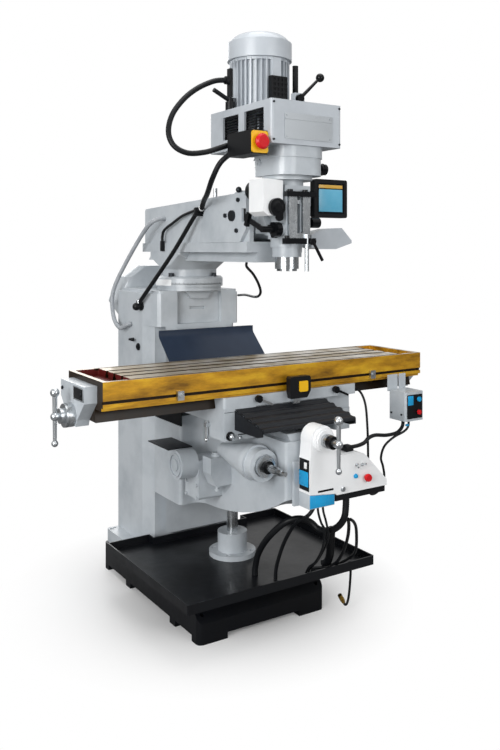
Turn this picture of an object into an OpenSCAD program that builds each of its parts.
/* [Base and tray] */
// Width of the base over its sides
base_w = 560; // [520:1:620]
// Depth of the base from front to back
base_d = 860; // [800:1:920]
// Height of the base behind the tray
base_h = 112; // [100:1:125]
// Height of the cuts between the feet
foot_h = 22; // [15:1:30]
// Diameter of the four anchor bolt holes
anchor_d = 18; // [14:1:22]
// Distance of an anchor hole from the side of the base
anchor_inset = 26; // [24:1:30]
// Height of the seat that carries the tray
tray_z = 196; // [180:1:215]
// Height of the tray wall
tray_h = 34; // [25:1:50]
// Width of the tray
tray_w = 809; // [760:1:860]
// Distance from the front of the base to the front of the tray
tray_reach = 149; // [120:1:180]
// Thickness of the tray wall
tray_t = 5; // [3:0.5:8]

/* [Column] */
// Width of the column at the back
column_w = 424; // [400:1:450]
// Width of the turret block at the top of the column
block_w = 386; // [360:1:395]
// Height of the turret block
block_h = 147; // [130:1:170]
// Height of the column above the floor
column_top = 1230; // [1180:1:1280]
// Distance from the middle of the base to the front of the column
column_front = 65; // [50:1:80]
// Depth of the column
column_d = 379; // [350:1:410]
// Width of the dovetail way on the column front
way_w = 320; // [290:1:340]
// Depth of the dovetail way
way_d = 40; // [34:1:46]
// Wall of the column casting
column_wall = 28; // [20:1:36]

/* [Knee] */
// Height of the top of the knee above the floor
knee_top = 752; // [720:1:780]
// Height of the knee where it meets the column
knee_h = 350; // [320:1:380]
// Distance that the knee reaches in front of the column
knee_reach = 772; // [740:1:800]
// Width of the front of the knee
knee_w = 200; // [180:1:220]
// Width of the knee where it holds the column
jaw_w = 392; // [380:1:400]
// Height of the rail that the saddle slides on
rail_h = 26; // [20:1:32]
// Width of the top of that rail
rail_w = 176; // [160:1:190]
// Diameter of the elevating screw
lift_screw_d = 44; // [36:1:50]
// Pitch of the elevating screw, from the crank's gearing
lift_per_turn = 2.5; // [2:0.5:5]

/* [Saddle and table] */
// Height of the saddle over the knee
saddle_h = 138; // [125:1:155]
// Table length
table_l = 1370; // [1250:1:1400]
// Table width
table_w = 305; // [285:1:330]
// Table thickness over its side
table_t = 94; // [86:1:104]
// Distance from the spindle to the middle of the table
table_back = 184; // [150:1:200]
// Width of a T-slot at the top
slot_w = 16; // [14:0.5:18]
// Width of a T-slot at the bottom
slot_under = 27; // [24:0.5:30]
// Depth of a T-slot
slot_depth = 24; // [22:0.5:28]
// Distance from one T-slot to the next
slot_pitch = 64; // [56:1:70]
// Width of the dovetail under the table
tail_w = 190; // [170:1:200]
// Height of the dovetail under the table
tail_h = 44; // [42:1:46]
// Diameter of the table screw
table_screw_d = 28; // [25:1:30]

/* [Turret and ram] */
// Radius of the turret foot
turret_r = 143; // [135:1:150]
// Height of the turret foot
turret_foot_h = 50; // [44:1:60]
// Radius of the turret body
turret_body_r = 116; // [110:1:122]
// Height of the turret body up to the ram bed
turret_body_h = 64; // [56:1:75]
// Distance from the turret axis to the front of the column
turret_set = 90; // [80:1:110]
// Length of the ram
ram_l = 866; // [820:1:900]
// Width of the upper part of the ram
ram_w = 220; // [205:1:230]
// Width of the flange at the bottom of the ram
ram_flange_w = 250; // [240:1:265]
// Height of the ram over its dovetail
ram_h = 219; // [200:1:235]
// Height of the dovetail under the ram
ram_tail_h = 36; // [30:1:42]

/* [Head] */
// Distance from the nod pivot to the spindle axis
head_reach = 167; // [160:1:180]
// Diameter of the quill
quill_d = 85; // [80:1:90]
// Travel of the quill
quill_travel = 127; // [100:1:140]
// Distance from the nod pivot down to the bottom of the head
head_drop = 150; // [140:1:160]
// Distance from the nod pivot up to the top of the head casting
head_rise = 134; // [128:1:142]
// Width of the gear housing
gear_w = 196; // [180:1:206]
// Height of the gear housing
gear_h = 100; // [90:1:110]
// Width of the belt housing
belt_w = 300; // [285:1:315]
// Height of the belt housing
belt_h = 150; // [140:1:160]
// Wall of the belt housing
belt_wall = 9; // [6:1:12]
// Diameter of the finned motor body
motor_d = 227; // [215:1:235]
// Height of the motor body
motor_h = 193; // [180:1:210]
// Diameter of the fan cover
fan_d = 242; // [235:1:250]
// Height of the fan cover
fan_h = 100; // [90:1:110]
// Number of cooling fins round the motor
fin_count = 36; // [24:1:44]
// Distance between the spindle axis and the motor axis
belt_span = 177; // [170:1:184]

/* [Handles] */
// Length of a ball crank over its balls
crank_l = 168; // [150:1:175]
// Diameter of the large ball of a crank
ball_d = 30; // [26:1:34]

/* [Hidden] */
$fn = 64;
// Clearance between pieces that touch face to face
seat = 0.2;
// Clearance between pieces that slide past each other
slide = 0.4;
// Radial clearance of a shaft in its bearing
run = 0.05;
// Places that follow from the sizes above
base_front = -base_d / 2;
col_root = column_front + way_d;
col_back = column_front + column_d;
block_z = column_top - block_h;
neck_w = way_w - 46;
tray_floor = tray_z + seat + tray_t;
tray_front = base_front - tray_reach;
tray_back = column_front + 30;
knee_y = column_front - slide;
knee_front = column_front - knee_reach;
knee_foot = knee_top - knee_h;
cross_z = knee_top + 13;
lift_y = column_front - 265;
lift_motor_y = column_front - 303;
lift_motor_w = 104;
pump_w = 62;
pump_y = lift_motor_y - lift_motor_w / 2 - 6 - pump_w / 2;
saddle_top = knee_top + saddle_h;
rail_z = knee_top + rail_h;
spindle_y = -572;
table_y = spindle_y + table_back;
table_front = table_y - table_w / 2;
table_rear = table_y + table_w / 2;
saddle_rear = table_rear + 70;
saddle_left = -242;
saddle_right = 347;
apron_y = saddle_rear + 2;
crank_x = -155;
crank_z = knee_top - 80;
feed_y = knee_front - 12;
feed_face = feed_y - 61;
table_top = saddle_top + table_t;
tail_z = saddle_top - tail_h;
screw_z = saddle_top - tail_h + 16;
turret_y = column_front + turret_set;
boss_h = 8;
turret_z = column_top + boss_h + seat;
bed_z = turret_z + turret_foot_h + turret_body_h;
ram_z = bed_z + 3;
flange_z = ram_z + ram_tail_h;
ram_top = flange_z + ram_h;
pivot_y = spindle_y + head_reach;
pivot_z = flange_z + 134;
ram_front = pivot_y - 93;
ram_back = ram_front + ram_l;
face_y = ram_front - 3;
head_z = pivot_z - head_drop;
gear_z = pivot_z + head_rise + seat;
belt_z = gear_z + gear_h + seat;
deck_z = belt_z + belt_h;
motor_y = spindle_y + belt_span;
motor_z = deck_z + seat;
fan_z = motor_z + motor_h + 6;
quill_bore = quill_d / 2 + run;
// A rectangle with round corners, centred on the origin
module rounded(w, d, r) {
  square([w - 2 * r, d], center = true);
  square([w, d - 2 * r], center = true);
  for (x = [-1, 1], y = [-1, 1])
    translate([x * (w / 2 - r), y * (d / 2 - r)]) circle(r);
}
// A plate with round corners that stands on z = 0
module plate(w, d, h, r) {
  linear_extrude(h) rounded(w, d, r);
}
// A block from x0 to x1, y0 to y1 and z0 to z1
module block(x0, x1, y0, y1, z0, z1) {
  translate([x0, y0, z0]) cube([x1 - x0, y1 - y0, z1 - z0]);
}
// A side profile in Y and Z, drawn right across a width
module across(w) {
  translate([-w / 2, 0, 0]) rotate([90, 0, 90]) linear_extrude(w) children();
}
// A round bar along -Y, from its back end
module forward(y, r, l) {
  translate([0, y, 0]) rotate([90, 0, 0]) cylinder(h = l, r = r);
}
// A hexagon bolt head that stands on z = 0
module hex_head(across_flats, h) {
  cylinder(h = h, d = across_flats / cos(30), $fn = 6);
}
// The four feet are what the cuts leave at the bottom of the base
module base_casting() color("#1c1f25") {
  seat_w = base_w - 40;
  cut_x = base_w / 2 - 120;
  difference() {
    union() {
      difference() {
        plate(base_w, base_d, base_h, 22);
        across(base_w + 2) polygon([
          [base_front - 1, 74], [base_front, 74], [base_front + 34, base_h], [base_front + 34, base_h + 1],
          [base_front - 1, base_h + 1]
        ]);
      }
      translate([0, (base_front + 34 + col_root - 12) / 2, base_h - 2])
        plate(seat_w, col_root - 12 - base_front - 34, tray_z - base_h + 2, 18);
    }
    block(-cut_x, cut_x, base_front - 1, -base_front + 1, -1, foot_h);
    for (cut = [[base_front + 52, -250], [-205, 150], [195, -base_front - 52]])
      block(-base_w, base_w, cut[0], cut[1], -1, foot_h);
    block(-seat_w / 2 + 26, seat_w / 2 - 26, base_front + 62, col_root - 40, -1, tray_z - 26);
    block(-base_w / 2 + 60, base_w / 2 - 60, col_root - 41, -base_front - 40, -1, base_h - 30);
    for (x = [-1, 1], y = [-1, 1])
      translate([x * (base_w / 2 - anchor_inset), y * (base_d / 2 - anchor_inset), -1])
        cylinder(h = tray_z + 2, d = anchor_d);
    translate([0, lift_y, tray_z - 30]) cylinder(h = 40, r = lift_screw_d / 2 + 3);
  }
}
// The tray goes round the front of the column
module chip_tray() color("#15171c") {
  depth = tray_back - tray_front;
  notch = column_w / 2 + 8;
  notch_y = column_front - 12;
  drain = [354, -500, 0];
  translate([0, 0, tray_z + seat]) difference() {
    union() {
      translate([0, tray_front + depth / 2, 0]) difference() {
        plate(tray_w, depth, tray_h, 6);
        translate([0, 0, tray_t]) plate(tray_w - 2 * tray_t, depth - 2 * tray_t, tray_h, 3);
      }
      block(-notch - tray_t, notch + tray_t, notch_y - tray_t, tray_back - 1, 0, tray_h);
      translate(drain - [0, 0, 16]) cylinder(h = 17, r = 9);
    }
    block(-notch, notch, notch_y, tray_back + 1, -1, tray_h + 1);
    translate(drain - [0, 0, 17]) cylinder(h = 40, r = 5);
    translate([0, lift_y, -1]) cylinder(h = tray_t + 2, r = lift_screw_d / 2 + 3);
  }
}
// The elbow that takes the ram's hose into the column
module hose_elbow() color("#17181b") {
  translate([-column_w / 2 - seat, 186, 1164]) rotate([0, -90, 0]) {
    cylinder(h = 6, r = 20);
    cylinder(h = 24, r = 15);
    translate([-2, 0, 24]) sphere(r = 17);
  }
}
// The outline of the male dovetail, larger all round by gap
module way_outline(gap) {
  polygon([
    [-way_w / 2 - gap, column_front - gap], [way_w / 2 + gap, column_front - gap],
    [neck_w / 2 + gap, col_root], [neck_w / 2 + gap, col_root + 20],
    [-neck_w / 2 - gap, col_root + 20], [-neck_w / 2 - gap, col_root]
  ]);
}
module column_casting() color("#b9bec3") {
  w = column_w / 2;
  b = block_w / 2;
  shoulder = 2;
  flange_h = 56;
  pocket = [212, 22, block_h - 14];
  difference() {
    union() {
      translate([0, 0, base_h + seat]) linear_extrude(column_top - 12 - base_h) polygon([
        [-b + 3, col_root], [b - 3, col_root], [w, col_root + 75], [w, col_back - 14],
        [w - 14, col_back], [14 - w, col_back], [-w, col_back - 14], [-w, col_root + 75]
      ]);
      translate([0, 0, tray_z + tray_h]) linear_extrude(column_top - 12 - tray_z - tray_h) way_outline(0);
      translate([0, 0, block_z]) linear_extrude(block_h - 12) polygon([
        [-b, column_front + 12], [12 - b, column_front], [b - 12, column_front], [b, column_front + 12],
        [w, col_root + 75], [-w, col_root + 75]
      ]);
      translate([0, column_front + column_d / 2, column_top - 14]) plate(block_w - 6, column_d - 6, 14, 20);
      translate([0, turret_y, column_top - 1]) cylinder(h = boss_h + 1, r = turret_r - 6);
      translate([0, (col_root + 8 - base_front) / 2, base_h + seat])
        plate(base_w - 24, -base_front - col_root - 8, flange_h, 16);
    }
    block(-w + column_wall, w - column_wall, col_root + column_wall, col_back - column_wall,
          base_h - 1, block_z - 20);
    translate([-pocket[0] / 2, column_front - 1, block_z + 8]) difference() {
      cube([pocket[0], pocket[1] + 1, pocket[2]]);
      translate([pocket[0] / 2, -1, pocket[2] - 26]) rotate([-90, 0, 0]) linear_extrude(pocket[1] + 3)
        polygon([[-62, -27], [62, -27], [38, 2], [-38, 2]]);
    }
    block(-36, 36, column_front + pocket[1] - 2, column_front + pocket[1] + 10, block_z + 66, block_z + 78);
    for (y = [col_root + 110, col_back - 30], x = [-1, 1])
      translate([x * (w + 24), y, base_h - 1]) cylinder(h = flange_h + 3, r = 7);
    for (x = [-1, 1]) translate([x * (base_w / 2 - anchor_inset), base_d / 2 - anchor_inset, base_h - 1])
      cylinder(h = flange_h + 3, d = anchor_d);
  }
}
// A smooth housing for the wiring on the back of the column
module rear_housing() color("#bcc1c5") {
  y = col_back + seat;
  widths = [[block_z - 48, 250, 96], [block_z + 80, 400, 150], [column_top + 40, 330, 130], [ram_z - 36, 190, 80]];
  hull() {
    for (s = widths)
      translate([0, y + s[2] / 2, s[0]]) plate(s[1], s[2], 8, 34, $fn = 24);
  }
}
// The post that holds the nut of the elevating screw
module screw_pedestal() color("#aeb4b9") {
  translate([0, lift_y, tray_floor + seat]) difference() {
    union() {
      cylinder(h = 18, r = 92);
      cylinder(h = 92, r = 58);
    }
    translate([0, 0, -1]) cylinder(h = 100, r = lift_screw_d / 2 + run);
    for (a = [45 : 90 : 315]) rotate(a) translate([76, 0, -1]) cylinder(h = 30, r = 7);
  }
}
module column_lock() color("#c8ccd0") {
  translate([-column_w / 2 - seat, 215, 989]) rotate([0, -90, 0]) difference() {
    union() {
      cylinder(h = 5, r = 15);
      cylinder(h = 8, r = 11);
    }
    translate([0, 0, 2]) cylinder(h = 8, r = 4);
  }
}
module column_latch() color("#17191d") {
  translate([-column_w / 2 - seat, 265, 1016]) rotate([0, -90, 0]) {
    cylinder(h = 12, r = 7);
    translate([-4.5, -30, 12]) cube([9, 42, 7]);
  }
}
module way_cover_bar() color("#d6d9dc") {
  block(-218, 218, 2, 8, block_z - 34, block_z - 8);
  for (x = [-120, 120]) block(x - 15, x + 15, 8, column_front - seat, block_z - 27, block_z - 15);
}
// The apron hangs from the bar down to the back of the saddle
module way_cover() color("#2b3242") {
  across(448) polygon([
    [1.6, block_z - 8], [1.6, block_z - 34], [apron_y + 18, saddle_top + 20], [apron_y + 2, saddle_top - 2],
    [apron_y + 2, saddle_top - 24], [apron_y - 1.6, saddle_top - 24], [apron_y - 1.6, saddle_top],
    [apron_y + 15, saddle_top + 22], [-1.6, block_z - 33], [-1.6, block_z - 8]
  ]);
}
// The knee is deep at the column and sweeps up to its nose
module knee_body() color("#a3a9af") {
  jaw_y = col_root - slide;
  wide_y = column_front - 195;
  nose_rise = 155;
  fillet = 44;
  steps = 14;
  belly = [for (i = [0 : steps]) let (t = i / steps)
    [knee_y - t * (knee_y - knee_front), knee_foot + nose_rise * pow(t, 3)]];
  rail = rail_w / 2;
  boss_y = pump_y - pump_w / 2 - 29;
  difference() {
    union() {
      intersection() {
        translate([0, 0, knee_foot]) linear_extrude(knee_h) {
          translate([0, (knee_front + jaw_y) / 2]) rounded(knee_w, jaw_y - knee_front, 12);
          translate([0, (wide_y + jaw_y) / 2]) rounded(jaw_w, jaw_y - wide_y, 14);
          for (x = [-1, 1]) translate([x * knee_w / 2, wide_y]) difference() {
            translate([-(1 - x) / 2 * fillet - x, -fillet]) square([fillet + 1, fillet + 2]);
            translate([x * fillet, -fillet]) circle(fillet);
          }
        }
        across(jaw_w + 2) polygon(concat([[knee_front, knee_top], [jaw_y, knee_top], [jaw_y, knee_foot]], belly));
      }
      translate([0, knee_y - 60, knee_top]) rotate([90, 0, 0]) linear_extrude(knee_y - 60 - knee_front - 8)
        polygon([[14 - rail, 0], [rail - 14, 0], [rail, rail_h], [-rail, rail_h]]);
      translate([crank_x, 0, crank_z]) {
        translate([0, boss_y, 0]) rotate([90, 0, 0]) cylinder(h = boss_y - knee_front - 112, r1 = 24, r2 = 62);
        forward(knee_front + 113, 62, 22);
        forward(knee_front + 92, 55, 42);
      }
    }
    translate([0, 0, knee_foot - 1]) linear_extrude(knee_h + 2) way_outline(slide);
    block(-27, 27, knee_front + 40, knee_y - 40, cross_z - 30, rail_z + 1);
    block(-knee_w / 2 + 20, knee_w / 2 - 20, knee_front + 60, knee_y - 44, knee_foot - 1, cross_z - 60);
    translate([0, 0, cross_z]) forward(knee_front + 41, 14 + run, 60);
    translate([crank_x, 0, crank_z]) forward(knee_front + 190, 13 + run, 160);
    translate([0, lift_y, cross_z - 61]) cylinder(h = 32, r = lift_screw_d / 2 - 8 + run);
  }
}
// The motor drives the elevating screw through a gearbox on the side of the knee
module knee_motor() color("#c3c7cb") {
  side = -knee_w / 2 - seat;
  y = lift_motor_y;
  depth = 102;
  difference() {
    union() {
      translate([side, y, knee_top - 212]) rotate([90, 0, -90]) plate(lift_motor_w, 148, depth, 10);
      translate([side - depth + 1, y, knee_top - 155]) rotate([0, -90, 0]) {
        cylinder(h = 70, r = 54);
        cylinder(h = 76, r = 44);
      }
      for (z = [-280, -232], dy = [-40, 40])
        translate([side - depth + 1, y + dy, knee_top + z]) rotate([0, -90, 0]) hex_head(12, 7);
    }
    translate([side - depth - 69, y, knee_top - 155]) rotate([0, -90, 0]) difference() {
      cylinder(h = 20, r = 38);
      cylinder(h = 20, r = 22);
    }
  }
}
module oil_pump() color("#9aa0a6") {
  side = -knee_w / 2 - seat;
  y = pump_y;
  translate([side, y, knee_top - 118]) {
    rotate([90, 0, 0]) linear_extrude(pump_w, center = true)
      polygon([[0, 0], [-88, 0], [-88, -58], [-66, -106], [0, -106]]);
    translate([-46, 0, -1]) cylinder(h = 9, r = 20);
    translate([-46, 0, 7]) cylinder(h = 6, r = 16);
    translate([-44, 0, -124]) cylinder(h = 19, r = 6);
    translate([-44, 0, -131]) cylinder(h = 9, r = 9);
  }
}
module feed_unit_bracket() color("#a3a9af") {
  y = knee_front - seat;
  difference() {
    union() {
      block(-74, 120, feed_y + seat, y, knee_top - 215, knee_top - 66);
      translate([0, 0, cross_z]) forward(y, 28, y - feed_y - seat);
      block(-30, 30, feed_y + seat, y, knee_top - 67, cross_z - 30);
    }
    translate([0, 0, cross_z]) forward(y + 1, 14 + run, 60);
  }
}
// The feed unit's face: a boss round the cross screw and a body to the right of it
module feed_outline() {
  polygon([
    [-53, -178], [-53, -62], [-50, -52], [-46, 0], [46, 0], [58, -52], [70, -64], [150, -62],
    [184, -72], [216, -104], [286, -176], [286, -196], [60, -196], [56, -190]
  ]);
  circle(r = 47);
}
module feed_unit_case() color("#f0f1f2") {
  depth = feed_y - feed_face;
  translate([0, feed_y, cross_z]) rotate([90, 0, 0]) difference() {
    union() {
      linear_extrude(depth) feed_outline();
      translate([0, 0, depth]) cylinder(h = 12, r = 40);
      translate([0, 0, depth + 12]) cylinder(h = 6, r = 34);
    }
    translate([0, 0, -1]) cylinder(h = depth + 30, r = 14 + run);
    translate([190, -154, depth - 16]) cylinder(h = 18, r = 6 + slide);
    translate([-20, -176, depth - 3]) cube([66, 7, 4]);
  }
}
module feed_unit_base() color("#15171a") {
  block(58, 280, feed_face + 4, feed_y, cross_z - 218, cross_z - 196 - seat);
  block(-55.2, -53 - seat, feed_face + 5, feed_y - 4, cross_z - 168, cross_z - 64);
}
module feed_stop_button() color("#d3202b") {
  translate([190, feed_face - 3, cross_z - 154]) rotate([90, 0, 0]) {
    translate([0, 0, -12]) cylinder(h = 13, r = 6);
    cylinder(h = 8, r = 11);
    translate([0, 0, 8]) cylinder(h = 7, r1 = 14, r2 = 12);
  }
}
module knee_crank_shaft() color("#c9cdd1") {
  translate([crank_x, 0, crank_z]) {
    forward(knee_front + 160, 13, 193);
    forward(knee_front + 50 - slide, 37, 16);
    forward(knee_front + 34 - slide, 22, 14);
    translate([0, knee_front - 32, 0]) rotate([90, 0, 0]) cylinder(h = 44, r = 8);
    translate([0, knee_front - 36, 0]) rotate([90, 0, 0]) hex_head(20, 22);
  }
}
module elevating_screw() color("#b7babd") {
  low = tray_floor + 4;
  top = cross_z - 61;
  translate([0, lift_y, 0]) {
    translate([0, 0, low]) cylinder(h = top - seat - low, r = lift_screw_d / 2);
    translate([0, 0, top - 1]) cylinder(h = 31, r = lift_screw_d / 2 - 8);
    translate([0, 0, top - 40]) cylinder(h = 22, r = 60);
  }
}
// A straight handle with a large ball, a small ball and a hub between them
module ball_crank(reach) {
  high = reach * 0.46;
  low = -reach * 0.52;
  translate([0, 0, high]) sphere(d = ball_d);
  translate([0, 0, low]) sphere(d = ball_d * 0.74);
  translate([0, 0, low]) cylinder(h = high - low, r1 = ball_d * 0.2, r2 = ball_d * 0.27);
  sphere(d = ball_d * 0.95);
}
module cross_crank() color("#cfd3d6") {
  reach_y = knee_y - 110;
  translate([0, 0, cross_z]) {
    forward(reach_y, 13, reach_y - feed_face + 84);
    forward(feed_face - 18 - slide, 23, 22);
    translate([0, feed_face - 84, 0]) ball_crank(crank_l);
  }
}
// The rubber cover over the front of the knee, in ridges from side to side
module front_way_cover() color("#14161b") {
  back = table_front - seat;
  front = knee_front - 8;
  top = saddle_top - 46;
  folds = 4;
  step = (back - front) / folds;
  line = [for (i = [0 : folds - 1], p = [[0, 0], [0.25, 0], [0.42, -11], [0.82, -11]])
    [back - (i + p[0]) * step, top - i * 9 + p[1]]];
  lower = [for (i = [len(line) - 1 : -1 : 0]) line[i] - [0, 4]];
  across(392) polygon(concat(line, [[front, top - folds * 9 - 2], [front, top - folds * 9 - 12]], lower));
  for (x = [-1, 1]) translate([x * 197.5, 0, 0]) across(3) polygon([
    [back, top - 2], [front, top - folds * 9 - 4], [front, rail_z + 6], [front + 30, rail_z - 2],
    [back, rail_z - 2]
  ]);
}
// The rubber cover over the back of the knee, folded like a bellows
module rear_way_cover() color("#14161b") {
  front = saddle_rear + seat;
  back = knee_y - 6;
  folds = 9;
  step = (back - front) / folds;
  for (i = [0 : folds - 1]) let (out = i % 2 == 0 ? 8 : 0)
    translate([0, front + (i + 1) * step, 0]) rotate([90, 0, 0]) linear_extrude(step) difference() {
      translate([-208 - out, knee_top - 34]) square([416 + 2 * out, rail_h + 46 + out]);
      translate([-203, knee_top - 40]) square([406, rail_h + 46]);
    }
}
// The saddle rides on the knee's rail and carries the table in its dovetail
module saddle_casting() color("#e3e6e8") {
  gap = slide;
  rail = rail_w / 2 + gap;
  tail = tail_w / 2 + gap;
  front = table_front;
  slab = 39;
  difference() {
    union() {
      translate([0, 0, saddle_top - slab]) linear_extrude(slab - gap) {
        translate([(saddle_left + saddle_right) / 2, (front + saddle_rear) / 2])
          rounded(saddle_right - saddle_left, saddle_rear - front, 10);
      }
      block(-112, 112, front + 14, saddle_rear, knee_top + gap, saddle_top - slab + 1);
      block(saddle_left + 8, saddle_right - 14, front + 26, saddle_rear - 12, rail_z + 12, saddle_top - slab + 1);
      block(saddle_left, -112 + 1, front, front + 118, knee_top - 12, saddle_top - slab + 1);
      translate([saddle_right - 52, front + 70, knee_top - 34]) plate(76, 116, 80, 16);
    }
    translate([0, saddle_rear + 1, knee_top]) rotate([90, 0, 0]) linear_extrude(saddle_rear - front + 2)
      polygon([[14 - rail, -1], [rail - 14, -1], [rail + 0.4, rail_h + gap], [-rail - 0.4, rail_h + gap]]);
    translate([saddle_left - 1, table_y, 0]) rotate([90, 0, 90])
      linear_extrude(saddle_right - saddle_left + 2) polygon([
        [12 - tail, saddle_top + 1], [tail - 12, saddle_top + 1], [tail, tail_z - gap], [-tail, tail_z - gap]
      ]);
    block(saddle_left - 1, saddle_right + 1, table_y - 24, table_y + 24, screw_z - 22, tail_z);
  }
  translate([0, table_y, screw_z]) difference() {
    union() {
      translate([-38, 0, 0]) rotate([0, 90, 0]) cylinder(h = 76, r = table_screw_d / 2 + 5.5);
      translate([-38, -19, -24]) cube([76, 38, 24]);
    }
    translate([-39, 0, 0]) rotate([0, 90, 0]) cylinder(h = 80, r = table_screw_d / 2 - 2 + run);
  }
  difference() {
    block(-24, 24, table_y - 30, table_y + 30, cross_z - 26, knee_top + rail_h + gap + 1);
    translate([0, 0, cross_z]) forward(table_y + 31, 13 + run, 62);
  }
}
// A round clamping knob on the front of the saddle, with a short lever
module table_lock(x, z) {
  translate([x, table_front - seat, z]) rotate([90, 0, 0]) {
    cylinder(h = 8, r = 9);
    translate([0, 0, 8]) cylinder(h = 12, r = 13);
    translate([0, 0, 14]) rotate(-24) translate([8, -4, 0]) cube([52, 8, 5]);
  }
}
module table_lock_left() color("#22252a") table_lock(-107, saddle_top - 13);
module table_lock_right() color("#22252a") table_lock(239, saddle_top - 13);
module saddle_lock_lever() color("#c9cdd1") {
  translate([saddle_left - seat, -440, knee_top + 30]) rotate([0, -90, 0]) {
    cylinder(h = 18, r = 9);
    translate([-52, 0, 12]) rotate([0, 90, 0]) {
      cylinder(h = 66, r = 5);
      sphere(r = 8);
    }
  }
}
// The switch that stops the table's power feed, between the two stop dogs
module limit_switch_case() color("#15171b") {
  y = table_front - seat;
  translate([54, y, saddle_top - 30]) rotate([90, 0, 0]) linear_extrude(18) square([28, 29], center = true);
  translate([54, y - 17, saddle_top - 22]) rotate([90, 0, 0]) linear_extrude(24) polygon([
    [-40, 0], [-46, 24], [-46, 73], [-40, 78], [40, 78], [46, 73], [46, 24], [30, 0]
  ]);
}
module limit_switch_plate() color("#f2c511") {
  translate([66, table_front - seat - 41 - seat, saddle_top + 20]) rotate([90, 0, 0]) plate(38, 38, 4, 5);
}
// The table: T-slots along the top, a dovetail below, a coolant trough at each end
module table_casting() color("#b98a1e") {
  back = table_y + table_w / 2;
  lip = saddle_top + 10;
  groove = saddle_top + 23;
  trough_w = 88;
  wall = 16;
  difference() {
    across(table_l) polygon([
      [table_front, table_top], [table_front, groove + 10], [table_front + 7, groove + 10],
      [table_front + 7, groove], [table_front, groove], [table_front, lip], [table_front + 12, lip],
      [table_front + 12, saddle_top], [table_y - tail_w / 2 + 12, saddle_top], [table_y - tail_w / 2, tail_z],
      [table_y + tail_w / 2, tail_z], [table_y + tail_w / 2 - 12, saddle_top], [back - 12, saddle_top],
      [back - 12, lip], [back, lip], [back, table_top]
    ]);
    for (i = [-1 : 1]) translate([0, table_y + i * slot_pitch, table_top]) across(table_l - 2 * trough_w)
      polygon([
        [-slot_w / 2, 1], [-slot_w / 2, -slot_depth / 2], [-slot_under / 2, -slot_depth / 2],
        [-slot_under / 2, -slot_depth], [slot_under / 2, -slot_depth], [slot_under / 2, -slot_depth / 2],
        [slot_w / 2, -slot_depth / 2], [slot_w / 2, 1]
      ]);
    for (x = [-1, 1]) translate([x * (table_l / 2 - wall - trough_w / 2), table_y, table_top - slot_depth])
      plate(trough_w, table_w - 2 * wall, slot_depth + 1, 6);
    for (y = [-1, 1]) translate([0, table_y + y * (table_w / 2 - 13), table_top - 7])
      across(table_l - 2 * trough_w) polygon([[-5, 0], [5, 0], [5, 8], [-5, 8]]);
    translate([-table_l / 2 - 1, table_y, screw_z]) rotate([0, 90, 0])
      cylinder(h = table_l + 2, r = table_screw_d / 2 + 6);
    block(-table_l / 2 - 1, table_l / 2 + 1, table_y - 20, table_y + 20, tail_z - 1, screw_z);
  }
}
module bearing_brackets() color("#dfe2e5") {
  reach = table_l / 2 + seat;
  for (side = [-1, 1]) translate([side * reach, table_y, 0]) rotate([90, 0, 90]) difference() {
    translate([0, 0, side > 0 ? 0 : -44]) linear_extrude(44) polygon([
      [-106, saddle_top + 76], [106, saddle_top + 76], [106, saddle_top + 22], [44, tail_z + 4],
      [34, screw_z - 34], [-34, screw_z - 34], [-44, tail_z + 4], [-106, saddle_top + 22]
    ]);
    translate([0, screw_z, -50]) cylinder(h = 100, r = table_screw_d / 2 - 4 + run);
  }
}
module stop_dogs() color("#d0d4d7") {
  for (x = [-414, 424]) translate([x, table_front, saddle_top + 28]) {
    block(-12, 12, -12, -seat, -16, 15);
    translate([0, -12, 0]) rotate([90, 0, 0]) hex_head(12, 6);
  }
}
module table_crank() color("#cfd3d6") {
  reach = table_l / 2 + 44 + seat;
  r = table_screw_d / 2;
  translate([0, table_y, screw_z]) rotate([0, 90, 0]) {
    translate([0, 0, -table_l / 2 + 8]) cylinder(h = table_l - 16, r = r - 2);
    translate([0, 0, -reach - 56]) cylinder(h = 2 * reach + 56 + 20, r = r - 4);
    translate([0, 0, -reach - 30]) cylinder(h = 30 - slide, r = 39);
    translate([0, 0, -reach - 44]) cylinder(h = 16, r = 25);
    translate([0, 0, reach + slide]) cylinder(h = 12, r = 20);
  }
  translate([-reach - 58, table_y, screw_z]) ball_crank(crank_l);
}
module control_case() color("#b8bdc1") {
  x = table_l / 2 - 175;
  front = table_front - 96;
  back = table_front - 3;
  translate([x + 50, (front + back) / 2, saddle_top - 152]) difference() {
    plate(96, back - front, 112, 8);
    for (z = [34, 84]) translate([16, front - (front + back) / 2 - 1, z]) rotate([-90, 0, 0])
      cylinder(h = 14, r = 5 + slide);
  }
  for (p = [[x - 3, x + 50], [x + 56, x + 92]])
    block(p[0], p[1], back + 1, table_front - seat, saddle_top - 46, saddle_top + 18);
  block(x + 10, x + 84, back - 1, back + 2, saddle_top - 100, saddle_top - 42);
}
module control_panel() color("#1d2127") {
  x = table_l / 2 - 175;
  translate([x + 50, table_front - 96 - seat, saddle_top - 96]) rotate([90, 0, 0]) difference() {
    plate(78, 92, 2, 4);
    for (y = [-22, 28]) translate([16, y, -1]) cylinder(h = 6, r = 5 + slide);
  }
}
// A push button that points to the front
module button(x, y, z) {
  translate([x, y, z]) rotate([90, 0, 0]) {
    translate([0, 0, -10]) cylinder(h = 12, r = 5);
    translate([0, 0, 1]) cylinder(h = 6, r = 9);
  }
}
module start_button() color("#2fb4d8") button(table_l / 2 - 109, table_front - 102, saddle_top - 68);
module halt_button() color("#d3202b") button(table_l / 2 - 109, table_front - 102, saddle_top - 118);
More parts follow.
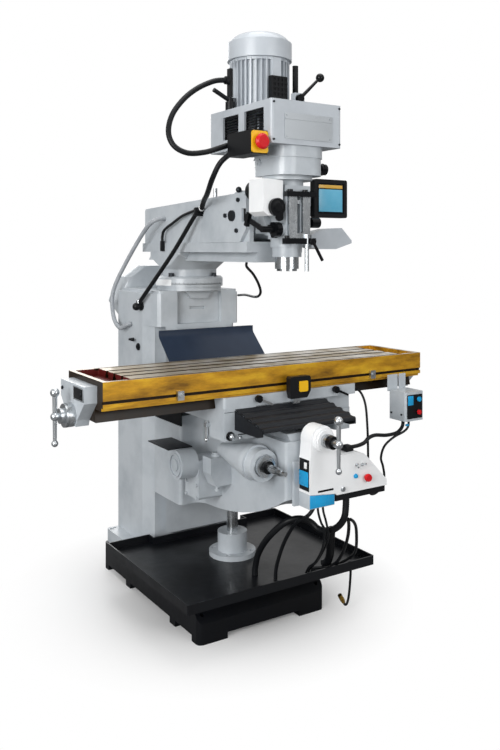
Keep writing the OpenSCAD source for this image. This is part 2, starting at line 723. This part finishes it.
// The turret turns on the column and grips the ram's dovetail
module turret_casting() color("#b9bec3") {
  tail = ram_w / 2 - 18;
  bed = 125;
  top = flange_z - slide;
  difference() {
    union() {
      translate([0, turret_y, turret_z]) {
        cylinder(h = 8, r = turret_r - 8);
        translate([0, 0, 8]) cylinder(h = turret_foot_h - 16, r = turret_r);
        translate([0, 0, turret_foot_h - 8]) cylinder(h = 8, r1 = turret_r, r2 = turret_r - 8);
        cylinder(h = turret_foot_h + turret_body_h, r = turret_body_r);
      }
      intersection() {
        translate([0, turret_y, bed_z - 40]) plate(2 * bed, 284, top - bed_z + 40, 20);
        translate([0, turret_y, bed_z - 40]) cylinder(h = 120, r1 = turret_body_r - 6, r2 = turret_body_r + 124);
      }
    }
    translate([0, turret_y, 0]) rotate([90, 0, 0]) linear_extrude(400, center = true) polygon([
      [-tail - slide, ram_z - slide], [tail + slide, ram_z - slide], [tail - 18 + slide, flange_z + 1],
      [-tail + 18 - slide, flange_z + 1]
    ]);
  }
}
module scale_plate() color("#e8eaec") {
  translate([0, turret_y, turret_z + 12]) difference() {
    cylinder(h = 26, r = turret_r + 2.5);
    translate([0, 0, -1]) cylinder(h = 28, r = turret_r + seat);
    rotate(-150) translate([-200, 0, -1]) cube([400, 200, 40]);
    rotate(-50) translate([-200, 0, -1]) cube([400, 200, 40]);
  }
}
module turret_bolts() color("#8d9399") {
  for (a = [25 : 90 : 295]) translate([0, turret_y, turret_z]) rotate(a)
    translate([turret_r - 14, 0, turret_foot_h - 8]) {
      difference() {
        translate([0, 0, 8 + seat]) cylinder(h = 4, r = 11);
        translate([0, 0, 7]) cylinder(h = 3, r = 1);
      }
      translate([0, 0, 12]) hex_head(19, 11);
    }
}
// The ram: a dovetail below, a tall body and two cheeks that hold the knuckle
module ram_casting() color("#bfc4c8") {
  tail = ram_w / 2 - 18;
  cheek = ram_flange_w / 2;
  fork = cheek - 32;
  band = flange_z + 38;
  step_y = pivot_y + 211;
  top_drop = 29;
  difference() {
    union() {
      translate([0, ram_back, 0]) rotate([90, 0, 0]) linear_extrude(ram_back - ram_front) polygon([
        [-tail, ram_z], [tail, ram_z], [tail - 18, flange_z], [cheek - 3, flange_z], [cheek - 3, band],
        [3 - cheek, band], [3 - cheek, flange_z], [18 - tail, flange_z]
      ]);
      across(ram_w) polygon([
        [ram_back, band - 1], [ram_back, ram_top - top_drop - 8], [ram_back - 8, ram_top - top_drop],
        [ram_front + 18, ram_top], [ram_front, ram_top - 16], [ram_front, band - 1]
      ]);
      across(ram_flange_w) polygon([
        [step_y + 40, band - 1], [step_y, ram_top - 56], [step_y - 173, ram_top - 8], [ram_front + 14, ram_top - 8],
        [ram_front, ram_top - 22], [ram_front, flange_z + 86], [ram_front + 44, band - 1]
      ]);
    }
    translate([0, pivot_y, pivot_z]) rotate([0, 90, 0]) cylinder(h = 2 * fork, r = 100, center = true);
    block(-fork, fork, ram_front - 1, pivot_y, band + slide, ram_top + 1);
    block(-fork, fork, pivot_y - 1, pivot_y + 100, pivot_z, ram_top + 1);
    translate([0, pivot_y, pivot_z]) rotate([0, 90, 0]) cylinder(h = 300, r = 16 + run, center = true);
    block(-ram_w / 2 + 26, ram_w / 2 - 26, step_y + 30, ram_back - 26, band + 20, ram_top - 60);
    for (x = [-1, 1]) translate([x * (cheek + 1), 0, 0]) {
      block(-9, 9, ram_front + 4, ram_front + 30, pivot_z - 26, pivot_z + 24);
    }
  }
}
module ram_bolts() color("#2a2d31") {
  cheek = ram_flange_w / 2 + seat;
  for (x = [-1, 1], p = [[-44, 56], [47, 2], [-32, -55]])
    translate([x * cheek, pivot_y + p[0], pivot_z + p[1]]) rotate([0, x * 90, 0]) hex_head(14, 8);
  translate([-105.5, pivot_y - 12, ram_top - 1.6]) {
    cylinder(h = 8, r = 4);
    translate([0, 0, 12]) sphere(r = 11);
  }
}
module ram_stud() color("#c4c8cc") {
  translate([-40, -135, ram_top - 11.3]) cylinder(h = 47, r = 8);
}
// The knuckle nods in the ram's fork and carries the head on a round face
module knuckle() color("#9da3a9") {
  half = ram_flange_w / 2 - 32.6;
  difference() {
    union() {
      translate([0, pivot_y, pivot_z]) rotate([0, 90, 0]) cylinder(h = 2 * half, r = 94, center = true);
      block(-half + 12, half - 12, face_y + 2, pivot_y, pivot_z - 66, pivot_z + 66);
      translate([0, face_y + 14, pivot_z]) rotate([90, 0, 0]) cylinder(h = 14, r = 82);
    }
    block(-half - 1, half + 1, face_y - 60, face_y, pivot_z - 100, pivot_z + 100);
    translate([0, pivot_y, pivot_z]) rotate([0, 90, 0]) cylinder(h = 300, r = 16 + run, center = true);
  }
}
module knuckle_pin() color("#6f757b") {
  cheek = ram_flange_w / 2;
  translate([0, pivot_y, pivot_z]) rotate([0, 90, 0]) {
    cylinder(h = 2 * cheek, r = 16, center = true);
    for (s = [-1, 1]) translate([0, 0, s * (cheek + 4.2)]) cylinder(h = 8, r = 20, center = true);
  }
}
module head_casting() color("#c3c8cc") {
  barrel = quill_d / 2 + 10;
  h = gear_z - seat - head_z;
  difference() {
    union() {
      translate([0, spindle_y, head_z]) cylinder(h = h, r = barrel);
      translate([0, spindle_y, head_z + 34]) cylinder(h = h - 34, r = barrel + 6);
      block(-52, 52, spindle_y - 68, spindle_y, head_z + 46, head_z + 250);
      block(-barrel + 6, barrel - 6, spindle_y, face_y - 12, head_z + 64, gear_z - 30);
      translate([0, face_y - seat, pivot_z]) rotate([90, 0, 0]) cylinder(h = 44, r = 80);
      translate([0, spindle_y, gear_z - 14]) cylinder(h = 14 - seat, r = gear_w / 2 - 8);
      block(-barrel - 12, 0, spindle_y - 40, spindle_y + 20, head_z + 142, head_z + 270);
      for (z = [108, 40]) block(0, barrel + 10, spindle_y - 46, spindle_y - 10, head_z + z, head_z + z + 30);
      translate([8 - barrel, spindle_y - 46, head_z + 96]) rotate([0, -90, 0]) cylinder(h = 21, r = 20);
      block(barrel - 2, barrel + 40, spindle_y - 6, spindle_y + 14, head_z + 184, head_z + 216);
      translate([barrel + 40, spindle_y + 4, head_z + 184]) cylinder(h = 32, r = 14);
    }
    translate([0, spindle_y, head_z - 1]) cylinder(h = h - 60, r = quill_bore);
    translate([0, spindle_y, head_z + h - 62]) cylinder(h = 64, r = 27);
    block(-9, 9, spindle_y - 70, spindle_y - 20, head_z + 58, head_z + 212);
    block(-quill_d / 2, quill_d / 2, face_y - 40, face_y + 1, pivot_z - 20, pivot_z + 20);
    translate([0, spindle_y + 50, pivot_z]) rotate([-90, 0, 0]) difference() {
      cylinder(h = 60, r = 200);
      translate([0, 0, -1]) cylinder(h = 62, r = 86);
    }
  }
}
module gear_housing() color("#c0c5c9") {
  difference() {
    union() {
      translate([0, spindle_y - 4, gear_z]) plate(gear_w, 216, gear_h * 0.62, 62);
      translate([0, spindle_y - 4, gear_z + gear_h * 0.62 - 1]) plate(gear_w + 8, 222, gear_h * 0.38 + 1, 64);
    }
    block(-gear_w, gear_w, ram_front - 14, face_y + 40, gear_z - 1, gear_z + 36);
    translate([0, spindle_y, gear_z - 1]) cylinder(h = gear_h + 2, r = 22 + run);
  }
  translate([1 - gear_w / 2, spindle_y + 30, gear_z + 50]) rotate([0, -90, 0]) {
    cylinder(h = 9, r = 12);
    cylinder(h = 14, r = 8);
  }
}
// The belt housing is a box with louvre windows in both sides
module belt_housing() color("#cdd1d4") {
  front = spindle_y - 122;
  back = motor_y + 112;
  mid = (front + back) / 2;
  inner = belt_w / 2 - belt_wall;
  window = [[-98, 124, 86], [56, 108, 84]];
  difference() {
    translate([0, mid, belt_z]) plate(belt_w, back - front, belt_h, 10);
    translate([0, mid, belt_z + belt_wall]) plate(2 * inner, back - front - 2 * belt_wall, belt_h - 2 * belt_wall, 6);
    translate([0, spindle_y, belt_z - 1]) cylinder(h = belt_wall + 2, r = 34);
    translate([0, motor_y, belt_z + belt_h - belt_wall - 1]) cylinder(h = belt_wall + 2, r = 60);
    for (s = [-1, 1], w = window)
      block(s * inner - 12, s * inner + 12, mid + w[0] - w[1] / 2, mid + w[0] + w[1] / 2,
            belt_z + 40, belt_z + 40 + w[2]);
  }
  translate([62, spindle_y + 12.4, deck_z - 1]) {
    block(-24, 44, 0, 40, 0, 21);
    block(-16, 16, 0, 26, 20, 60);
    translate([28, 24, 20]) cylinder(h = 18, r = 13);
  }
}
module housing_grilles() color("#0e0f12") {
  mid = (spindle_y - 122 + motor_y + 112) / 2;
  inner = belt_w / 2 - belt_wall;
  for (s = [-1, 1], w = [[-98, 124, 86], [56, 108, 84]]) {
    wide = w[1] - 2 * seat;
    tall = w[2] - 2 * seat;
    translate([s * inner, mid + w[0], belt_z + 40 + seat]) {
      difference() {
        block(-1, 6, -wide / 2, wide / 2, 0, tall);
        block(-2, 7, -wide / 2 + 4, wide / 2 - 4, 4, tall - 4);
      }
      for (i = [0 : 7]) block(0, 5, -wide / 2 + 3, wide / 2 - 3, 5 + i * (tall - 14) / 7, 8 + i * (tall - 14) / 7);
    }
  }
}
module blank_plate() color("#e9ebec") {
  translate([6, spindle_y - 122 - seat, belt_z + 62]) rotate([90, 0, 0]) {
    plate(204, 88, 1.5, 5);
    for (x = [-92, 92], y = [-36, 36]) translate([x, y, 1.4]) cylinder(h = 2, r = 3);
    translate([-100, 22, 1.4]) cube([200, 4, 1.4]);
  }
}
// A toothed-looking step pulley in the belt housing
module step_pulley(r, h) {
  cylinder(h = 6, r = r);
  translate([0, 0, 6]) cylinder(h = h - 12, r = r - 6);
  translate([0, 0, h - 6]) cylinder(h = 6, r = r);
}
module spindle_pulley() color("#8f959b") {
  translate([0, spindle_y, belt_z + belt_wall + 6]) {
    step_pulley(78, 44);
    translate([0, 0, -belt_wall - 40]) cylinder(h = belt_wall + 46, r = 22);
  }
}
// The motor's shaft carries the pulley below and the cooling fan above
module motor_pulley() color("#8f959b") {
  foot = belt_z + belt_wall + 6;
  fan = motor_z + motor_h + 8 + seat;
  translate([0, motor_y, foot]) {
    step_pulley(52, 44);
    cylinder(h = fan + 30 - foot, r = 14);
  }
  translate([0, motor_y, fan]) {
    cylinder(h = 44, r = 24);
    for (a = [0 : 45 : 315]) rotate(a) translate([20, -2, 4]) cube([74, 4, 36]);
  }
}
// The outline of a belt round both pulleys, larger all round by extra
module belt_outline(extra) {
  big = 72 + seat + extra;
  small = 46 + seat + extra;
  a = asin((big - small) / belt_span);
  translate([0, spindle_y]) circle(r = big);
  translate([0, motor_y]) circle(r = small);
  polygon([
    [big * cos(a + 4), spindle_y + big * sin(a + 4)], [small * cos(a - 4), motor_y + small * sin(a - 4)],
    [-small * cos(a - 4), motor_y + small * sin(a - 4)], [-big * cos(a + 4), spindle_y + big * sin(a + 4)]
  ]);
}
module drive_belt() color("#17181a") {
  translate([0, 0, belt_z + belt_wall + 6 + 7]) linear_extrude(30) difference() {
    belt_outline(5);
    belt_outline(0);
  }
}
// The motor body carries cooling fins all round and a flat pad at the front
module motor_body() color("#c2c7cb") {
  core = motor_d / 2 - 16;
  difference() {
    translate([0, motor_y, motor_z]) {
      cylinder(h = 14, r = motor_d / 2);
      cylinder(h = motor_h, r = core);
      translate([0, 0, motor_h - 10]) cylinder(h = 10, r = motor_d / 2 - 4);
      for (i = [0 : fin_count - 1]) rotate(i * 360 / fin_count) translate([0, -2.2, 4])
        cube([motor_d / 2 - 1, 4.4, motor_h - 6]);
      translate([-19, -motor_d / 2 - 1, 4]) cube([38, 22, motor_h - 6]);
      translate([-motor_d / 2 - 10, -16, 46]) cube([30, 32, 110]);
      translate([0, 0, motor_h - 1]) cylinder(h = 8, r = 30);
    }
    translate([0, motor_y, motor_z - 1]) cylinder(h = motor_h + 12, r = 14 + run);
  }
}
module fan_cover() color("#c9cdd0") {
  translate([0, motor_y, motor_z + motor_h + seat]) difference() {
    rotate_extrude() {
      translate([0, 0]) square([fan_d / 2, fan_h - 34]);
      intersection() {
        translate([0, fan_h - 35]) square([fan_d / 2, 36]);
        translate([fan_d / 2 - 60, fan_h - 60]) circle(r = 60, $fn = 96);
      }
      square([fan_d / 2 - 58, fan_h]);
    }
    translate([0, 0, -1]) cylinder(h = fan_h - 39, r = fan_d / 2 - 4);
    cylinder(h = fan_h - 8, r = fan_d / 2 - 40);
    for (r = [24 : 14 : 80], a = [0 : 30 : 330]) rotate(a + r) translate([r, 0, fan_h - 12])
      cylinder(h = 20, r = 3.4, $fn = 12);
  }
  translate([0, motor_y, motor_z + motor_h + seat]) difference() {
    cylinder(h = 6, r = fan_d / 2 - 3);
    translate([0, 0, -1]) cylinder(h = 10, r = 40);
  }
}
// The terminal box and rods that stand on the belt housing beside the motor
module terminal_box() color("#16181b") {
  y = spindle_y + 52;
  translate([0, y, deck_z + seat]) difference() {
    block(-37, 33, -10, 10, 0, 118);
    for (i = [0 : 3], j = [0 : 5]) translate([-31 + i * 16, -11, 10 + j * 18]) cube([11, 4, 12]);
  }
  translate([120, -458, deck_z + seat]) {
    cylinder(h = 14, r = 14);
    cylinder(h = 182, r = 11);
  }
  translate([-134, -404, deck_z + seat]) {
    cylinder(h = 44, r = 12);
    translate([0, 0, 34]) rotate([0, -64, 0]) cylinder(h = 78, r = 8);
    cylinder(h = 30, r = 18);
  }
}
module motor_gland() color("#1a1c1f") {
  translate([-motor_d / 2 - 10 - seat, motor_y, motor_z + 102]) rotate([0, -90, 0]) {
    translate([-52, 0, 0]) block(0, 104, -11, 11, 0, 12);
    translate([8, 0, 12]) cylinder(h = 14, r = 15);
  }
}
module speed_lever() color("#1b1d20") {
  translate([62, spindle_y + 12, deck_z + 38]) rotate([90, 0, 0]) {
    cylinder(h = 14, r = 15);
    translate([0, 0, 7]) rotate([0, 90, 43]) {
      cylinder(h = 124, r1 = 7, r2 = 5);
      translate([0, 0, 124]) sphere(r = 16);
    }
  }
}
module stop_switch_box() color("#141519") {
  x = -belt_w / 2 - seat;
  difference() {
    translate([x - 66, spindle_y - 100, belt_z - 38]) cube([66, 152, 80]);
    translate([x - 33, spindle_y - 101, belt_z + 2]) rotate([-90, 0, 0]) cylinder(h = 20, r = 8 + slide);
  }
}
module switch_plate() color("#f2c511") {
  x = -belt_w / 2 - seat;
  translate([x - 33, spindle_y - 100 - seat, belt_z + 2]) rotate([90, 0, 0]) difference() {
    plate(65, 74, 5, 10);
    translate([0, 0, -1]) cylinder(h = 8, r = 8 + slide);
  }
}
module stop_button() color("#d3202b") {
  x = -belt_w / 2 - seat;
  translate([x - 33, spindle_y - 100 - 11, belt_z + 2]) rotate([90, 0, 0]) {
    translate([0, 0, -16]) cylinder(h = 17, r = 8);
    cylinder(h = 10, r1 = 24, r2 = 27);
    translate([0, 0, 10]) cylinder(h = 8, r1 = 27, r2 = 20);
  }
}
module range_knob() color("#17191c") {
  translate([gear_w / 2 + seat, spindle_y - 28, gear_z + 32]) rotate([0, 90, 0]) {
    cylinder(h = 26, r = 12);
    translate([0, 0, 26]) cylinder(h = 26, r = 20);
    translate([0, 0, 26]) cylinder(h = 12, r1 = 15, r2 = 22);
  }
}
// The quill feed gearbox hangs on the left of the head, with its motor behind it
module feed_gear_case() color("#eef0f1") {
  x = -quill_d / 2 - 10 - 12 - seat;
  translate([x, spindle_y - 68, pivot_z]) difference() {
    rotate([90, 0, 180]) linear_extrude(92) polygon([
      [0, -2], [0, 115], [52, 119], [80, 119], [80, 6], [58, -8]
    ]);
    translate([-30, 1, 22]) rotate([90, 0, 0]) translate([0, 0, -20]) cylinder(h = 22, r = 10 + run);
  }
}
module feed_motor() color("#3b3f44") {
  x = -quill_d / 2 - 10 - 12 - 44;
  translate([x, spindle_y + 24 + seat, pivot_z + 84]) rotate([-90, 0, 0]) {
    cylinder(h = 28, r = 35);
    cylinder(h = 34, r = 26);
  }
}
module feed_hub() color("#15171a") {
  x = -quill_d / 2 - 10 - 12 - seat - 30;
  translate([x, spindle_y - 68 - seat, pivot_z + 22]) rotate([90, 0, 0]) {
    translate([0, 0, -14]) cylinder(h = 15, r = 10);
    cylinder(h = 14, r = 31);
    translate([0, 0, 13]) cylinder(h = 6, r1 = 24, r2 = 14);
    translate([12, -34, 0]) cylinder(h = 10, r = 14);
    translate([0, -28, 0]) cube([26, 30, 10]);
  }
}
// The quill slides in the head; its lug runs in the slot of the depth stop
module quill() color("#d9dcdf") {
  bore = 25 + run;
  translate([0, spindle_y, 0]) difference() {
    union() {
      translate([0, 0, head_z - 42]) cylinder(h = 242, r = quill_d / 2);
      block(-7, 7, -quill_d / 2 - 26, 0, head_z + 200 - 14, head_z + 200);
    }
    translate([0, 0, head_z - 43]) cylinder(h = 250, r = bore);
  }
}
module spindle() color("#c9ccd0") {
  translate([0, spindle_y, 0]) difference() {
    union() {
      translate([0, 0, head_z - 50]) cylinder(h = 8 - seat, r = 36);
      translate([0, 0, head_z - 43]) cylinder(h = 260, r = 25);
      translate([0, 0, head_z + 200]) cylinder(h = 60, r = 18);
    }
    translate([0, 0, head_z - 51]) cylinder(h = 90, r1 = 16, r2 = 12);
    for (a = [0, 180]) rotate(a) translate([22, -7, head_z - 51]) cube([16, 14, 9]);
  }
}
module depth_stop() color("#dcdfe2") {
  y = spindle_y - 68 - seat;
  z0 = head_z + 60;
  difference() {
    union() {
      block(-47, -12, y - 12, y, z0 + 6, z0 + 150);
      block(12, 44, y - 12, y, z0 + 6, z0 + 150);
      block(-20, 20, y - 12, y - 1, z0 + 6, z0 + 24);
    }
    translate([-30, y - 13, z0 + 60]) rotate([-90, 0, 0]) cylinder(h = 3, r = 5);
  }
  translate([26, spindle_y - 84, head_z - 50]) cylinder(h = 130, r = 7.5);
}
module stop_clamps() color("#17181b") {
  y = spindle_y - 68 - seat;
  z0 = head_z + 60;
  difference() {
    union() {
      block(-62, 64, y - 22, y - 4, z0 + 150 + seat, z0 + 168);
      translate([-44, y - 14, z0 + 168 - 1]) cylinder(h = 8, r = 10);
      translate([20, y - 14, z0 + 168 - 1]) cylinder(h = 8, r = 10);
    }
    block(-20, 20, y - 9, y, z0 + 140, z0 + 180);
  }
  difference() {
    block(-68, 62, y - 22, y - 1, z0 - 14, z0 + 6 - seat);
    translate([26, spindle_y - 84, z0 - 15]) cylinder(h = 24, r = 7.5 + slide);
  }
  translate([-56, y - 12, z0 + 6 - seat - 1]) cylinder(h = 10, r = 9);
}
module quill_lock() color("#141518") {
  translate([44, spindle_y - 68 - seat - 22 - seat, head_z + 54]) rotate([90, 0, 0]) {
    cylinder(h = 10, r = 12);
    translate([0, 0, 6]) rotate(-58) rotate([0, 90, 0]) cylinder(h = 78, r = 5.5);
  }
}
module feed_lever() color("#17181b") {
  x = -quill_d / 2 - 10;
  y = spindle_y - 46;
  z = head_z + 96;
  rise = 22;
  translate([x - 13.3, y, z]) rotate([0, -90, 0]) {
    cylinder(h = 24, r = 26);
    cylinder(h = 74, r = 11);
    for (a = [0 : 120 : 240]) rotate(a + 40) translate([22, 0, 5]) cylinder(h = 18, r = 9);
    translate([0, 0, 65]) rotate(90 - rise) {
      translate([0, -9, 0]) cube([89, 18, 8]);
      translate([88, -26, -1]) cube([16, 50, 15]);
    }
  }
}
module quill_knob() color("#17181b") {
  translate([quill_d / 2 + 20 + seat, spindle_y - 28, head_z + 123]) rotate([0, 90, 0]) {
    cylinder(h = 20, r = 10);
    translate([0, 0, 20]) cylinder(h = 36, r = 19);
  }
}
module display_case() color("#17191c") {
  x = quill_d / 2 + 50;
  z = head_z + 200;
  difference() {
    union() {
      translate([x + 92, spindle_y + 6, z + 13]) rotate([90, 0, 0]) plate(152, 140, 26, 8);
      block(x + 2, x + 40, spindle_y - 1, spindle_y + 14, z - 34, z + 40);
    }
    translate([x + 92, spindle_y - 18, z + 13]) rotate([90, 0, 0]) plate(124, 112, 6, 3);
    translate([x, spindle_y + 4, z - 60]) cylinder(h = 120, r = 14 + slide);
  }
}
module display_screen() color("#4aa6c8") {
  x = quill_d / 2 + 50;
  translate([x + 92, spindle_y - 18 + 2 - seat, head_z + 213]) rotate([90, 0, 0]) plate(123, 111, 1.5, 3);
}
// The work lamp is a wedge that looks down at the spindle nose
module work_lamp() color("#d8dbdd") {
  translate([0, spindle_y + 36, head_z]) rotate([90, 0, 0]) linear_extrude(60) polygon([
    [92, 34], [120, 28], [205, 28], [279, 50], [279, 60], [232, 106], [168, 103], [124, 94], [92, 80]
  ]);
  block(quill_d / 2 + 20 + seat, 94, spindle_y - 14, spindle_y + 18, head_z + 44, head_z + 66);
}
// Nodes that hold more than one piece
module column_fittings() {
  column_lock();
  column_latch();
  way_cover_bar();
  rear_housing();
  hose_elbow();
}
module knee_casting() {
  knee_body();
  feed_unit_bracket();
}
module feed_unit() {
  feed_unit_case();
  feed_unit_base();
}
module limit_switch() {
  limit_switch_case();
  limit_switch_plate();
}
module end_brackets() {
  bearing_brackets();
  stop_dogs();
}
module control_box() {
  control_case();
  control_panel();
}
module turret_fittings() {
  scale_plate();
  turret_bolts();
}
module ram_fittings() {
  ram_bolts();
  ram_stud();
  knuckle_pin();
}
module housing_plates() {
  blank_plate();
  switch_plate();
}
module switch_boxes() {
  terminal_box();
  motor_gland();
  stop_switch_box();
}
module feed_gearbox() {
  feed_gear_case();
  feed_motor();
}
module display() {
  display_case();
  display_screen();
}
module depth_clamps() {
  stop_clamps();
  quill_knob();
}
// The route of a hose is a smooth curve through a few points
function curve(p, t) = let (
    i = min(floor(t), len(p) - 2), u = t - i, a = p[max(i - 1, 0)], b = p[i], c = p[i + 1],
    d = p[min(i + 2, len(p) - 1)]
  ) b + 0.5 * u * ((c - a) + u * (2 * a - 5 * b + 4 * c - d + u * (3 * (b - c) + d - a)));
function unit(v) = v / norm(v);
function sides(t, i, s) = i == len(t) ? [] :
  let (n = unit(s - (s * t[i]) * t[i])) concat([n], sides(t, i + 1, n));
module hose(route, d, rings = 32, n = 8) {
  path = [for (i = [0 : rings]) curve(route, i * (len(route) - 1) / rings)];
  along = [for (i = [0 : rings]) unit(path[min(i + 1, rings)] - path[max(i - 1, 0)])];
  side = sides(along, 0, abs(along[0][2]) < 0.9 ? [0, 0, 1] : [1, 0, 0]);
  skin = [for (i = [0 : rings], k = [0 : n - 1]) let (a = 360 * k / n)
    path[i] + d / 2 * (cos(a) * side[i] + sin(a) * cross(along[i], side[i]))];
  walls = [for (i = [0 : rings - 1], k = [0 : n - 1]) let (b = i * n + k, c = i * n + (k + 1) % n)
    each [[b, c + n, c], [b, b + n, c + n]]];
  ends = [for (k = [1 : n - 2]) each [[0, k, k + 1], [rings * n, rings * n + k + 1, rings * n + k]]];
  polyhedron(points = skin, faces = concat(walls, ends));
}
module head_hoses() color("#15171a") {
  hose([[-151.4, -395, 2020], [-200, -397, 2010], [-270, -404, 1976], [-330, -412, 1930], [-382, -425, 1868],
        [-404, -440, 1805], [-392, -458, 1757], [-350, -478, 1733], [-290, -494, 1738], [-232, -504, 1757],
        [-198, -507, 1769], [-194, -518.6, 1770]], 20, 44);
  hose([[-192, -518.6, 1740], [-196, -507, 1737], [-226, -486, 1704], [-236, -450, 1652], [-206, -360, 1604],
        [-156, -250, 1590], [-141, -206, 1564], [-137, -192, 1556], [-137, -179, 1554]], 20, 32);
}
module ram_hoses() color("#15171a") {
  hose([[-136, -153.6, 1544], [-142, -120, 1510], [-165, -28, 1402], [-196, 50, 1306], [-224, 120, 1222],
        [-231.2, 173, 1175]], 18, 26);
  hose([[-122, -153.6, 1558], [-124, -120, 1556], [-127, -20, 1538], [-129, 70, 1508], [-130, 136, 1484],
        [-130, 155, 1460], [-130, 156, 1438.4]], 12, 24);
  hose([[-110.6, 168, 1532], [-136, 169, 1531], [-158, 186, 1521], [-168, 224, 1498], [-176, 292, 1443],
        [-198, 374, 1346], [-224, 430, 1250], [-236, 444, 1180], [-240, 412, 1096], [-240, 350, 1060],
        [-236, 306, 1070], [-228, 290, 1078], [-215.4, 288, 1080]], 19, 40);
  hose([[-60, -400, 1353.6], [-60, -400, 1338], [-26, -391, 1310], [2, -384, 1274], [20, -372, 1242], [32, -340, 1224],
        [70, -250, 1215], [130, -90, 1208], [184, 52, 1203]], 10, 34);
  block(-150, -110.3, -176, -154, 1532, 1566);
  block(-137, -122.3, 147, 165, 1394, 1438);
}
module knee_hoses() color("#15171a") {
  hose([[112, -766, 546.6], [111, -766, 520], [108, -764, 486], [107, -748, 458], [104, -720, 432], [100, -680, 412],
        [90, -640, 408], [74, -612, 428], [40, -590, 440], [0, -560, 424], [-30, -500, 360], [-40, -450, 290],
        [-42, -430, 230], [-42, -428, 201.6]], 24, 40);
  hose([[128, -757, 470], [150, -735, 440], [176, -700, 390], [205, -650, 330], [226, -600, 274], [232, -560, 232],
        [212, -530, 211], [186, -514, 208], [160, -500, 207.8]], 12, 26);
  hose([[140, -756, 466], [170, -738, 446], [204, -710, 410], [240, -670, 340], [276, -620, 284], [296, -572, 246],
        [278, -536, 216], [250, -518, 207.6], [224, -505, 207.4]], 11, 26);
  hose([[30, -713, 536.6], [32, -713, 500], [46, -711, 460], [66, -706, 424], [84, -670, 350], [92, -620, 285],
        [97, -575, 250], [99, -550, 215], [99, -546, 201.6]], 8, 22);
  hose([[52, -713, 536.6], [54, -713, 500], [68, -712, 456], [88, -700, 400], [104, -655, 340], [112, -605, 280],
        [116, -572, 250], [118, -547, 226], [118, -547, 202]], 8, 22);
  hose([[132, -660, 404], [146, -640, 376], [176, -600, 322], [204, -560, 268], [212, -536, 234], [206, -516, 222]],
       30, 18);
  hose([[12, -713, 536.4], [12, -713, 520], [8, -711, 508], [-2, -704, 492], [-6, -676, 470], [0, -640, 452], [8, -590, 410],
        [8, -540, 340], [4, -510, 270], [2, -500, 230], [2, -498, 201.6]], 14, 26);
  hose([[536, -598, 737.6], [534, -598, 716], [512, -604, 700], [480, -612, 694], [420, -628, 698], [355, -642, 709],
        [290, -680, 715], [226, -730, 716], [186, -744, 714], [150.6, -745, 713]], 14, 38);
  hose([[347.5, -500, 864], [370, -501, 863], [392, -515, 846], [399, -535, 800], [394, -552, 720], [392, -558, 640],
        [391, -560, 560], [391, -562, 490], [398, -566, 464], [418, -574, 466], [440, -584, 492], [446, -590, 530],
        [436, -594, 570], [424, -596, 606], [440, -598, 648], [484, -600, 676], [536, -604, 694], [556, -606, 712],
        [558, -606, 737.6]], 9, 60);
  block(118, 150, -762, -728, 703.4, 722);
}
// A short hose hangs from the tray's drain and ends in a fitting
module drain_hose() color("#15171a") {
  hose([[354, -500, 180.8], [354, -500, 172], [354, -500, 150], [352, -500, 120], [349, -500, 90], [345, -500, 62],
        [340, -500, 42], [333, -500, 31], [325, -500, 32], [319, -500, 42]], 9.4, 32);
  translate([318.8, -500, 42.3]) rotate([0, -31, 0]) {
    cylinder(h = 30, r = 9);
    translate([0, 0, 30]) sphere(r = 9);
  }
}
base_casting();
chip_tray();
column_casting();
column_fittings();
screw_pedestal();
way_cover();
knee_casting();
knee_motor();
oil_pump();
feed_unit();
feed_stop_button();
knee_crank_shaft();
elevating_screw();
cross_crank();
front_way_cover();
rear_way_cover();
saddle_casting();
table_lock_left();
table_lock_right();
saddle_lock_lever();
limit_switch();
table_casting();
end_brackets();
table_crank();
control_box();
start_button();
halt_button();
turret_casting();
turret_fittings();
ram_casting();
ram_fittings();
knuckle();
head_casting();
gear_housing();
belt_housing();
housing_grilles();
housing_plates();
spindle_pulley();
motor_pulley();
drive_belt();
motor_body();
fan_cover();
switch_boxes();
stop_button();
speed_lever();
range_knob();
feed_gearbox();
feed_hub();
feed_lever();
quill();
spindle();
depth_stop();
depth_clamps();
quill_lock();
display();
work_lamp();
head_hoses();
ram_hoses();
knee_hoses();
drain_hose();
